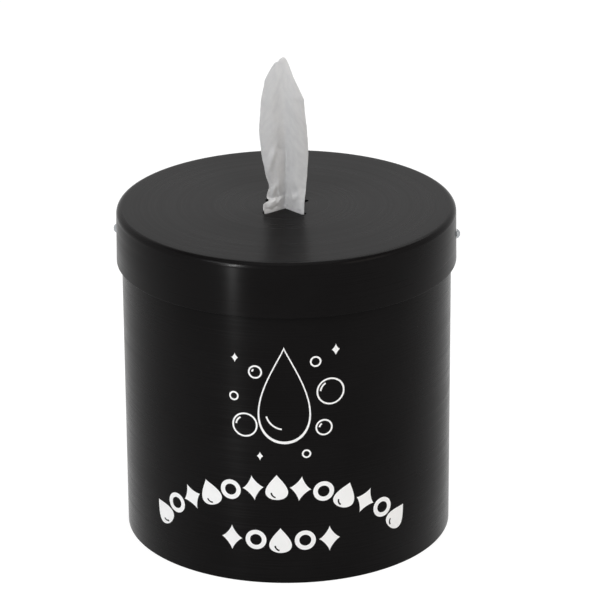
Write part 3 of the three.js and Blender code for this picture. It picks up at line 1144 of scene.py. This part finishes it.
@dataclass
class PulledWipe(Assembly):
    """The wipe that stands folded out of the slit, made as one thin sheet down to its tail in the roll."""

    slit_forward: float = 6.6
    tail: float = 119
    cloth: float = 0.3 * MM
    flat: Pair = (0.15, 0.2)
    columns: int = 150
    rows: int = 120
    tail_rows: int = 26
    tops: tuple[float, ...] = (70, 107.5, 111.6, 98.6, 110.2, 116.7, 101, 84.5, 95, 100, 66)
    foot_detail: float = 1.5
    front_y: float = -1.2
    pleat_depth: float = 0.5
    pleat_rise: float = 6
    pleat_reach: float = 16
    pleat_rate: float = 95
    pleat_slant: float = 0.08
    wave_depth: float = 0.5
    wave_spans: Triple = (9, 5, 16)
    ripple_depth: float = 0.16
    ripple_span: float = 3.1
    stations: tuple[FoldStation, ...] = (
        FoldStation(0, 14.5, 14.5, -14.5, -14.5, -1.6, 0.4, 1.4, 1.6, 0, 13.2, 13.2),
        FoldStation(3.5, 15.5, 14.6, -14.2, -14.0, -1.8, 0.5, 1.5, 1.6, 0.1, 13.2, 12.4),
        FoldStation(6.6, 15.4, 14.7, -13.4, -13.0, -2.2, 0.9, 1.9, 1.8, 0.6, 13.4, 9.5),
        FoldStation(8, 11.2, 14.7, -8.6, -12.4, -2.4, 1, 2, 2.0, 0.8, 12.6, 8.4),
        FoldStation(9.4, 13.4, 14.8, -6.4, -11.6, -2.5, 1.2, 2.2, 2.0, 1, 12.6, 7.5),
        FoldStation(18, 11.5, 15.5, -6, -8.2, -2.2, 1.8, 2.8, 2.6, 2, 10.6, 6.4),
        FoldStation(28, 14.3, 16.5, -5.6, -6.2, -1.8, 2.4, 3.2, 3, 2.6, 12, 6),
        FoldStation(44, 17.4, 17.4, -4.2, -4.6, -1.4, 2.8, 3.4, 3.4, 2.8, 14.5, 5.6),
        FoldStation(60, 18.7, 16.4, -3.6, -3.8, -1.8, 2.4, 3.4, 4, 2.8, 15.4, 5.2),
        FoldStation(82, 17.5, 14.4, -2.8, -2.8, -2.6, 1.4, 2.8, 4, 2, 13, 4.2),
        FoldStation(99, 14.7, 14.2, -2.4, -2.4, -3, 0.8, 2.2, 3.4, 1, 9, 3),
        FoldStation(118, 14.6, 14.2, -2.2, -2.2, -2.8, 0.5, 1.5, 2.6, 0.2, 6, 2),
    )
    crinkles: tuple[Crinkle, ...] = (
        Crinkle((-12, 30), (-6.5, 50), 2.0, 1.5),
        Crinkle((-6.5, 50), (-2, 44), 1.6, -1.2),
        Crinkle((0, 12), (1.5, 60), 1.8, -1.1),
        Crinkle((-3, 20), (-5.5, 62), 2.6, 0.8),
        Crinkle((5, 10), (3.2, 66), 2.4, 0.8),
        Crinkle((10, 12), (6.5, 30), 2.2, 0.6),
        Crinkle((3, 84), (9, 72), 3.0, 0.6),
        Crinkle((-10, 12), (-4, 22), 1.8, 0.7),
        Crinkle((4, 6), (11, 14), 1.6, 0.6),
        Crinkle((-12, 8.2), (-0.5, 10.5), 0.9, -0.8),
        Crinkle((-14, 3.4), (-4, 5.6), 2.0, 0.7),
        Crinkle((-0.4, 2), (0.4, 14), 1.2, -1.7),
        Crinkle((-1, 88), (14, 85), 2.4, 0.5),
        Crinkle((-9, 62), (-11, 96), 3.4, 0.6),
    )

    def build(self) -> None:
        wipe = as_object("folded_wipe", self._sheet())
        wall = wipe.modifiers.new("cloth", "SOLIDIFY")
        wall.thickness = self.cloth
        wall.offset = 0
        wall.use_even_offset = False
        settle(wipe)
        self.dress(wipe, self.finishes.wipe, "wipe", "pulled_wipe")

    def _level(self, rise: float) -> FoldStation:
        """Gives the sheet's level at a height above the lid, as at the first or last station beyond them."""
        pairs = zip(self.stations, self.stations[1:])
        low, high = next((pair for pair in pairs if rise <= pair[1].rise), self.stations[-2:])
        return FoldStation.between(low, high, rise)

    @staticmethod
    def _along(values: Sequence[Vector] | Sequence[float], share: float) -> Vector | float:
        """Follows the smooth curve through values.

        Args:
            values: Points or numbers at equal steps of the way.
            share: The share of the way.

        Returns:
            The point or number there.
        """
        spans = len(values) - 1
        place = min(share * spans, spans - 1e-9)
        i = int(place)
        t = place - i
        p1, p2 = values[i], values[i + 1]
        p0 = values[i - 1] if i > 0 else p1 * 2 - p2
        p3 = values[i + 2] if i + 2 < len(values) else p2 * 2 - p1
        return (p1 * 2 + (p2 - p0) * t + (p0 * 2 - p1 * 5 + p2 * 4 - p3) * t ** 2
                + (p1 * 3 - p0 - p2 * 3 + p3) * t ** 3) * 0.5

    def _point(self, across: float, up: float) -> Vector:
        """Gives a point of the sheet in millimetres.

        Args:
            across: The share of the way from the sheet's left free edge to its right one.
            up: The share of the way from the sheet's tail to its top edge.

        Returns:
            The point, with its height above the lid as its Z.
        """
        tail_share = self.tail_rows / self.rows
        if up < tail_share:
            rise = -self.tail * (1 - up / tail_share)
        else:
            share = (up - tail_share) / (1 - tail_share)
            rise = self._along(self.tops, across) * share ** self.foot_detail
        x, y = self._along(self._level(rise).points(), across)
        if rise > 2:
            pleat = math.exp(-((rise - self.pleat_rise) / self.pleat_reach) ** 2)
            y += self.pleat_depth * pleat * math.sin(across * self.pleat_rate + rise * self.pleat_slant)
        return Vector((x, y, rise))

    def _sheet(self) -> Mesh:
        """Builds the sheet as a grid that is folded along its levels."""
        bm = bmesh.new()
        bmesh.ops.create_grid(bm, x_segments=self.columns, y_segments=self.rows, size=0.5, calc_uvs=False)
        uv = bm.loops.layers.uv.new("sheet")
        for face in bm.faces:
            for corner in face.loops:
                x, y, _ = corner.vert.co
                corner[uv].uv = ((x + 0.5) * self.flat[0], (y + 0.5) * self.flat[1])
        for vert in bm.verts:
            vert.co = self._point(vert.co.x + 0.5, vert.co.y + 0.5)
        bmesh.ops.recalc_face_normals(bm, faces=bm.faces)
        self._crinkle(bm)
        moved(bm, Matrix.Scale(MM, 4) @ at(0, -self.slit_forward, self.sizes.height / MM))
        return shaded(bm, 80)

    def _crinkle(self, bm: Mesh) -> None:
        """Adds soft ridges to the front and slight waves all over, except inside the slit and the can.

        Args:
            bm: The folded sheet in millimetres.
        """
        bm.normal_update()
        lifts = []
        for vert in bm.verts:
            x, y, rise = vert.co
            place = Vector([part / span for part, span in zip(vert.co, self.wave_spans)])
            wave = (self.wave_depth * noise.noise(place)
                    + self.ripple_depth * noise.noise(vert.co / self.ripple_span))
            ridge = sum(c.lift(x, rise) for c in self.crinkles) if y < self.front_y else 0
            lifts.append(Vector((0, -ridge * ramp(rise, 1, 4), 0)) + vert.normal * wave * ramp(rise, 3, 17))
        for vert, lift in zip(bm.verts, lifts):
            vert.co += lift


@dataclass
class WallBracket(Assembly):
    """The folded hat-section bracket behind the can, with its bolts, washers and nuts."""

    fasteners: Fastener = Fastener()
    height: float = 130 * MM
    middle: float = 126 * MM
    sheet: float = 2 * MM
    depth: float = 16 * MM
    bend: float = 2 * MM
    crown: float = 44 * MM
    flange: float = 28 * MM
    corner: float = 6 * MM
    edge: float = 0.3 * MM
    keyhole_head: float = 5 * MM
    keyhole_slot: float = 2.75 * MM
    keyhole_run: float = 12 * MM
    keyhole_inset: float = 25 * MM
    bolt_inset: float = 20 * MM
    bolt_radius: float = 3 * MM
    bolt_pitch: float = 1 * MM
    bolt_plain: float = 4 * MM
    bolt_turn: float = 25
    bolt_head_radius: float = 6 * MM
    bolt_head_height: float = 3.3 * MM
    bolt_end: float = 1.5 * MM
    washer_radius: float = 6.5 * MM
    washer_sheet: float = 1.2 * MM
    nut_across_flats: float = 10 * MM
    nut_height: float = 5 * MM
    thread_clearance: float = 0.15 * MM

    @property
    def crown_y(self) -> float:
        """The crown's face on the drum's side."""
        return self.sizes.drum_radius + self.sizes.seat_gap

    @property
    def wall_y(self) -> float:
        """The flanges' face on the wall."""
        return self.crown_y + self.depth

    def build(self) -> None:
        """Builds the bracket and what holds it."""
        self._hat()
        for level in Level:
            self._bolt_stack(level)

    def _half_section(self) -> Outline:
        """Gives the right half of the folded section, from the crown's drum side round to its wall side."""
        leg = self.crown / 2
        outer = self.bend + self.sheet
        return [
            *arc(leg - outer, self.crown_y + outer, outer, -90, 0),
            *arc(leg + self.bend, self.wall_y - outer, self.bend, 180, 90),
            (leg + self.flange, self.wall_y - self.sheet),
            (leg + self.flange, self.wall_y),
            *arc(leg - self.sheet + outer, self.wall_y - outer, outer, 90, 180),
            *arc(leg - outer, self.crown_y + outer, self.bend, 0, -90),
        ]

    def _keyhole(self, side: Side, level: Level) -> Mesh:
        """Gives one keyhole as a cutting tool: a round hole for a screw's head, with a slot above it.

        Args:
            side: The side of the bracket that it is on.
            level: The level that it is on.

        Returns:
            The tool's mesh.
        """
        slim = math.degrees(math.asin(self.keyhole_slot / self.keyhole_head))
        outline = [
            *arc(0, 0, self.keyhole_head, 90 + slim, 450 - slim, 28),
            *arc(0, self.keyhole_run - self.keyhole_slot, self.keyhole_slot, 0, 180, 14),
        ]
        x = side.value * (self.crown / 2 + self.flange / 2)
        z = self.middle + level.value * (self.height / 2 - self.keyhole_inset)
        return moved(prism(outline, 3 * self.sheet), at(x, self.wall_y + self.sheet, z, 90, "X"))

    def _hat(self) -> None:
        """Builds the folded strip with its rounded corners and its holes."""
        half = self._half_section()
        strip = moved(prism([*half, *((-x, y) for x, y in reversed(half))], self.height),
                      at(0, 0, self.middle - self.height / 2))
        x = self.crown / 2 + self.flange - self.corner
        z = self.height / 2 - self.corner
        ways = ((x, -z, -90), (x, z, 0), (-x, z, 90), (-x, -z, 180))
        plate = [point for u, v, start in ways for point in arc(u, v, self.corner, start, start + 90)]
        face = moved(prism(plate, 3 * self.depth), at(0, self.wall_y + self.depth, self.middle, 90, "X"))
        holes = [moved(rod(self.sizes.bolt_hole, 4 * self.sheet),
                       at(0, self.crown_y, self._bolt_z(level), 90, "X")) for level in Level]
        keyholes = [self._keyhole(side, level) for side in Side for level in Level]
        bracket = as_object("folded_bracket", carved(carved(strip, [face], Cut.SHARED), [*holes, *keyholes]))
        ease(bracket, self.edge)
        self.dress(bracket, self.finishes.powder, "can", "wall_bracket")

    def _bolt_z(self, level: Level) -> float:
        """Gives a bolt's height."""
        return self.middle + level.value * (self.height / 2 - self.bolt_inset)

    def _bolt_stack(self, level: Level) -> None:
        """Builds one bolt with its two washers and its nut, from inside the drum towards the wall.

        Args:
            level: The level that they are on.
        """
        s = self.sizes
        sag = s.drum_inner - math.sqrt(s.drum_inner ** 2 - self.washer_radius ** 2)
        inner_washer = s.drum_inner - sag - s.seat_gap - self.washer_sheet
        outer_washer = self.crown_y + self.sheet + s.seat_gap
        nut_face = outer_washer + self.washer_sheet + s.seat_gap
        tip = nut_face + self.nut_height + self.bolt_end
        shank = tip - inner_washer + s.seat_gap
        bore = self.bolt_radius + self.thread_clearance
        bolt = self.fasteners.dome_screw(self.bolt_radius, shank, self.bolt_head_radius,
                                         self.bolt_head_height, self.bolt_pitch, shank - self.bolt_plain)
        moved(bolt, turned(180, "X") @ turned(self.bolt_turn * level.value, "Z"))
        washers = [self.fasteners.washer(bore, self.washer_radius, self.washer_sheet) for _ in range(2)]
        stack = (
            ("bracket_bolt", "dome_bolt", tip, bolt),
            ("inner_washer", "washer_inside", inner_washer, washers[0]),
            ("outer_washer", "washer_behind", outer_washer, washers[1]),
            ("bracket_nut", "hex_nut", nut_face,
             self.fasteners.hex_nut(self.nut_across_flats, bore, self.nut_height)),
        )
        label = level.name.lower()
        for node, name, y, mesh in stack:
            moved(mesh, at(0, y, self._bolt_z(level), -90, "X"))
            self.dress(as_object(f"{name}_{label}", mesh), self.finishes.zinc, "can", f"{node}_{label}")


@dataclass
class FrontPrint(Assembly):
    """The white print on the drum's front: two rows of bold marks and a line picture of bubbles and a drop.

    The picture's own places and sizes are in millimetres from the middle of the front's foot.
    """

    ink_gap: float = 0.03 * MM
    ink_depth: float = 0.08 * MM
    strip: float = 2.0 * MM
    mark_height: float = 20 * MM
    arch_radius: float = 142.8 * MM
    arch_centre: float = -65.4 * MM
    arch_spread: float = 42
    row_middle: float = 2.5 * MM
    row_height: float = 34.7 * MM
    row_step: float = 18.2 * MM
    line: float = 1.25 * MM
    drop_middle: Pair = (6, 150)
    drop_half: Pair = (20, 38)
    drop_shine: Pair = (13, 13.5)
    bubbles: tuple[Triple, ...] = ((-23, 126, 9.5), (-15, 168, 5.2), (35, 124, 6.4), (40, 152, 10.5),
                                   (-31, 148, 3.6), (29, 176, 4.2), (22, 104, 3.4))
    bubble_shine: float = 5
    sparkles: tuple[Triple, ...] = ((-30, 178, 0.36), (44, 184, 0.44), (-12, 102, 0.34))
    arch_marks: tuple[Mark, ...] = (
        Mark.DROP, Mark.BUBBLE, Mark.SPARKLE, Mark.DROP, Mark.BUBBLE, Mark.SPARKLE, Mark.DROP, Mark.SPARKLE,
        Mark.BUBBLE, Mark.DROP, Mark.SPARKLE, Mark.BUBBLE, Mark.DROP,
    )
    row_marks: tuple[Mark, ...] = (Mark.SPARKLE, Mark.BUBBLE, Mark.DROP, Mark.BUBBLE, Mark.SPARKLE)

    def build(self) -> None:
        """Builds the three printed areas."""
        self._print("print_arch", self._arch())
        self._print("print_row", self._row())
        self._print("print_picture", self._picture())

    def _mark(self, mark: Mark) -> list[Outline]:
        """Gives a mark's outlines about its middle.

        Args:
            mark: The mark.

        Returns:
            The outer outline first, and its holes after it.
        """
        h = self.mark_height / 2
        if mark is Mark.SPARKLE:
            return [self._star(0.8 * h, h)]
        if mark is Mark.BUBBLE:
            return [self._ring(0.78 * h, 0, 0, 40), self._ring(0.44 * h, 0, 0, 32)]
        shine = self._stroke(arc(0, 0, 0.4 * h, 182, 258, 10))
        return [self._drop(0.86 * h, h, 40), *self._placed([shine], 0, -0.42 * h)]

    @staticmethod
    def _ring(radius: float, x: float, y: float, steps: int) -> Outline:
        """Gives a circle's outline."""
        return loop(lambda a: (x + radius * math.cos(a), y + radius * math.sin(a)), steps)

    @staticmethod
    def _drop(half_width: float, half_height: float, steps: int, widest: float = 0.75) -> Outline:
        """Gives a drop's outline with its point at the top."""
        return loop(lambda a: (half_width / widest * math.sin(a) * math.sin(a / 2) ** 1.3,
                               half_height * math.cos(a)), steps)

    @staticmethod
    def _star(half_width: float, half_height: float) -> Outline:
        """Gives a four-pointed star's outline with hollow sides."""
        def bent(value: float) -> float:
            """Draws a value in towards 0, with its sign kept."""
            return math.copysign(abs(value) ** 2.6, value)

        return loop(lambda a: (half_width * bent(math.cos(a)), half_height * bent(math.sin(a))), 48)

    def _stroke(self, path: Outline) -> Outline:
        """Gives the outline of an open line of the print's line width.

        Args:
            path: The line's middle.

        Returns:
            Its left side, and its right side backwards.
        """
        left, right = [], []
        for i, (x, y) in enumerate(path):
            before, after = path[max(i - 1, 0)], path[min(i + 1, len(path) - 1)]
            along = Vector((after[0] - before[0], after[1] - before[1])).normalized() * self.line / 2
            left.append((x - along.y, y + along.x))
            right.append((x + along.y, y - along.x))
        return [*left, *reversed(right)]

    @staticmethod
    def _placed(outlines: Iterable[Outline], x: float, y: float, degrees: float = 0,
                scale: float = 1) -> list[Outline]:
        """Gives outlines scaled, turned and moved."""
        c, s = scale * math.cos(math.radians(degrees)), scale * math.sin(math.radians(degrees))
        return [[(x + c * u - s * v, y + s * u + c * v) for u, v in outline] for outline in outlines]

    def _arch(self) -> list[list[Outline]]:
        """Gives the arched row's marks."""
        last = len(self.arch_marks) - 1
        start, stop = 90 + self.arch_spread, 90 - self.arch_spread
        places = arc(0, self.arch_centre, self.arch_radius, start, stop, last)
        return [self._placed(self._mark(mark), *place, self.arch_spread * (1 - 2 * i / last))
                for i, (mark, place) in enumerate(zip(self.arch_marks, places))]

    def _row(self) -> list[list[Outline]]:
        """Gives the straight row's marks."""
        middle = (len(self.row_marks) - 1) / 2
        return [self._placed(self._mark(mark), self.row_middle + (i - middle) * self.row_step,
                             self.row_height) for i, mark in enumerate(self.row_marks)]

    def _picture(self) -> list[list[Outline]]:
        """Gives the line picture: a large drop with a shine line, among round bubbles and sparkles."""
        x, y = (part * MM for part in self.drop_middle)
        width, height = (part * MM for part in self.drop_half)
        drops = [self._drop(width, height, 96), self._drop(width - self.line, height - 1.6 * self.line, 96)]
        below, bow = (part * MM for part in self.drop_shine)
        shapes = [self._placed(drops, x, y), [self._stroke(arc(x, y - below, bow, 195, 262, 16))]]
        for bubble in self.bubbles:
            x, y, radius = (part * MM for part in bubble)
            shapes.append([self._ring(radius, x, y, 48), self._ring(radius - self.line, x, y, 48)])
            if radius > self.bubble_shine * MM:
                shapes.append([self._stroke(arc(x, y, radius - 2.4 * self.line, 120, 175, 8))])
        half = self.mark_height / 2
        shapes += [self._placed([self._star(0.7 * half, half)], x * MM, y * MM, scale=size)
                   for x, y, size in self.sparkles]
        return shapes

    def _print(self, name: str, shapes: Iterable[Iterable[Outline]]) -> None:
        """Lays filled outlines on the drum.

        Args:
            name: The printed area's name.
            shapes: The shapes as outlines in metres along the surface, from the middle of the front and up.
        """
        bm = bmesh.new()
        for outlines in shapes:
            edges = []
            for outline in outlines:
                points = [bm.verts.new((x, y, 0)) for x, y in outline]
                edges += [bm.edges.new(pair) for pair in zip(points, [*points[1:], points[0]])]
            bmesh.ops.triangle_fill(bm, use_beauty=True, use_dissolve=False, edges=edges, normal=(0, 0, 1))
        low, high = min(v.co.x for v in bm.verts), max(v.co.x for v in bm.verts)
        for i in range(1, int((high - low) / self.strip)):
            bmesh.ops.bisect_plane(bm, geom=[*bm.verts, *bm.edges, *bm.faces], dist=1e-8,
                                   plane_co=(low + i * self.strip, 0, 0), plane_no=(1, 0, 0))
        bm.normal_update()
        bmesh.ops.reverse_faces(bm, faces=[face for face in bm.faces if face.normal.z < 0])
        bmesh.ops.solidify(bm, geom=list(bm.faces), thickness=self.ink_depth)
        bottom = min(v.co.z for v in bm.verts)
        for vert in bm.verts:
            along, height, out = vert.co
            radius = self.sizes.drum_radius + self.ink_gap + out - bottom
            angle = along / self.sizes.drum_radius
            vert.co = (radius * math.sin(angle), -radius * math.cos(angle), height)
        if bm.calc_volume(signed=True) < 0:
            bmesh.ops.reverse_faces(bm, faces=bm.faces)
        self.dress(as_object(name, shaded(bm)), self.finishes.ink, "can")


# The studio


@dataclass(frozen=True)
class Softbox:
    """One soft lamp, placed by its direction from the object."""

    name: str
    azimuth: float
    elevation: float
    distance: float
    width: float
    height: float
    power: float
    colour: Colour = (1, 1, 1)
    highlight_only: bool = False

    def build(self, target: Vector) -> None:
        """Puts the lamp in the scene.

        Args:
            target: The point that it faces.
        """
        light = bpy.data.lights.new(self.name, "AREA")
        light.shape = "RECTANGLE"
        light.size = self.width
        light.size_y = self.height
        light.energy = self.power
        light.color = self.colour
        lamp = bpy.data.objects.new(self.name, light)
        back = direction(self.azimuth, self.elevation)
        facing = back.to_track_quat("Z", "Y").to_matrix().to_4x4()
        lamp.matrix_world = Matrix.Translation(target + back * self.distance) @ facing
        lamp.visible_diffuse = not self.highlight_only
        bpy.context.scene.collection.objects.link(lamp)


@dataclass
class Studio:
    """A pale floor, a white surround, soft lamps and the camera at the photograph's angle."""

    floor_size: float = 14
    floor_grey: float = 0.8
    floor_shade: float = 0.22
    floor_glow: float = 0.86
    camera_azimuth: float = 4
    camera_elevation: float = 22.782
    camera_distance: float = 2.651925
    camera_aim: float = 0.109083
    camera_pitch: float = 21.436
    camera_yaw: float = 0.23
    camera_roll: float = -0.368
    camera_reach: float = 60
    focal_pixels: float = 3493.485
    frame_pixels: float = 600
    sensor: float = 36
    surround: float = 0.6
    dim_span: Pair = (0.6, 0.76)
    overhead: float = 0.12
    lamp_aim: float = 0.16
    softboxes: tuple[Softbox, ...] = (
        Softbox("strip_left", -30.5, 17, 1.9, 0.1, 1.1, 44, highlight_only=True),
        Softbox("key_left", -42, 34, 2.2, 0.7, 0.7, 13, (0.98, 0.99, 1)),
        Softbox("overhead", 10, 78, 1.6, 1.3, 1.3, 8),
        Softbox("fill_right", 60, 32, 2.4, 1.2, 1.2, 9, (1, 0.9, 0.78)),
        Softbox("fill_back", 165, 52, 2.4, 1.4, 1.0, 12),
    )

    def build(self) -> None:
        """Builds the whole studio."""
        bpy.context.scene.view_settings.view_transform = "Standard"
        self._camera()
        self._floor()
        self._world()
        for softbox in self.softboxes:
            softbox.build(Vector((0, 0, self.lamp_aim)))

    def _camera(self) -> None:
        """Places the camera by the fitted view of the photograph."""
        aim = Vector((0, 0, self.camera_aim))
        place = aim + direction(0, self.camera_elevation) * self.camera_distance
        back = direction(-self.camera_yaw, self.camera_pitch)
        right = Vector((0, 0, 1)).cross(back).normalized()
        turn = Matrix((right, back.cross(right), back)).transposed().to_4x4() @ turned(self.camera_roll, "Z")
        camera = bpy.data.cameras.new("camera")
        camera.sensor_width = self.sensor
        camera.lens = self.focal_pixels * self.sensor / self.frame_pixels
        camera.clip_end = self.camera_reach
        obj = bpy.data.objects.new("camera", camera)
        obj.matrix_world = turned(self.camera_azimuth, "Z") @ Matrix.Translation(place) @ turn
        bpy.context.scene.collection.objects.link(obj)
        bpy.context.scene.camera = obj

    @staticmethod
    def _choose(shader: ShaderTree, hidden: Node, seen: Node, output: str) -> None:
        """Ends a tree with one shader where the background is seen and another for all other rays.

        Args:
            shader: The tree.
            hidden: The shader for all other rays.
            seen: The shader for camera rays, and for glossy and transmission rays.
            output: The output node's type.
        """
        path = shader.add("LightPath").outputs
        glossy = shader.math("MAXIMUM", path["Is Glossy Ray"], path["Is Transmission Ray"])
        mask = shader.math("MAXIMUM", path["Is Camera Ray"], glossy)
        choice = shader.add("MixShader", {0: mask, 1: hidden.outputs[0], 2: seen.outputs[0]})
        shader.add(output, {"Surface": choice.outputs[0]})

    def _floor(self) -> None:
        """Builds the floor, which reads white in the picture and keeps a soft shadow."""
        bm = bmesh.new()
        bmesh.ops.create_grid(bm, x_segments=4, y_segments=4, size=self.floor_size / 2)
        floor = as_object("studio_floor", bm)
        material = bpy.data.materials.new("pale_floor")
        material.use_nodes = True
        material.node_tree.nodes.clear()
        shader = ShaderTree(material.node_tree)
        matt, dim = (shader.add("BsdfDiffuse", {"Color": (grey, grey, grey, 1)})
                     for grey in (self.floor_grey, self.floor_shade))
        glow = shader.add("Emission", {"Strength": self.floor_glow})
        lit = shader.add("AddShader", {0: dim.outputs[0], 1: glow.outputs[0]})
        self._choose(shader, matt, lit, "OutputMaterial")
        floor.data.materials.append(material)

    def _world(self) -> None:
        """Builds the surround: white where it is seen, dim overhead, and a plain soft light for the rest."""
        world = bpy.data.worlds.new("surround")
        bpy.context.scene.world = world
        world.use_nodes = True
        world.node_tree.nodes.clear()
        shader = ShaderTree(world.node_tree)
        up = shader.add("SeparateXYZ", {0: shader.add("TexCoord").outputs["Generated"]}).outputs[2]
        seen_strength = shader.spread(up, *self.dim_span, 1, self.overhead)
        seen, light = (shader.add("Background", {"Color": (1, 1, 1, 1), "Strength": strength})
                       for strength in (seen_strength, self.surround))
        self._choose(shader, light, seen, "OutputWorld")


def main() -> None:
    """Builds the studio and every piece of the dispenser."""
    logging.basicConfig(level=logging.INFO, format="%(message)s")
    sizes, finishes = CanSizes(), Finishes()
    Studio().build()
    for assembly in (Drum, Lid, Roll, PulledWipe, WallBracket, FrontPrint):
        assembly(sizes, finishes).build()
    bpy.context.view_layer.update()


if __name__ == "__main__":
    main()
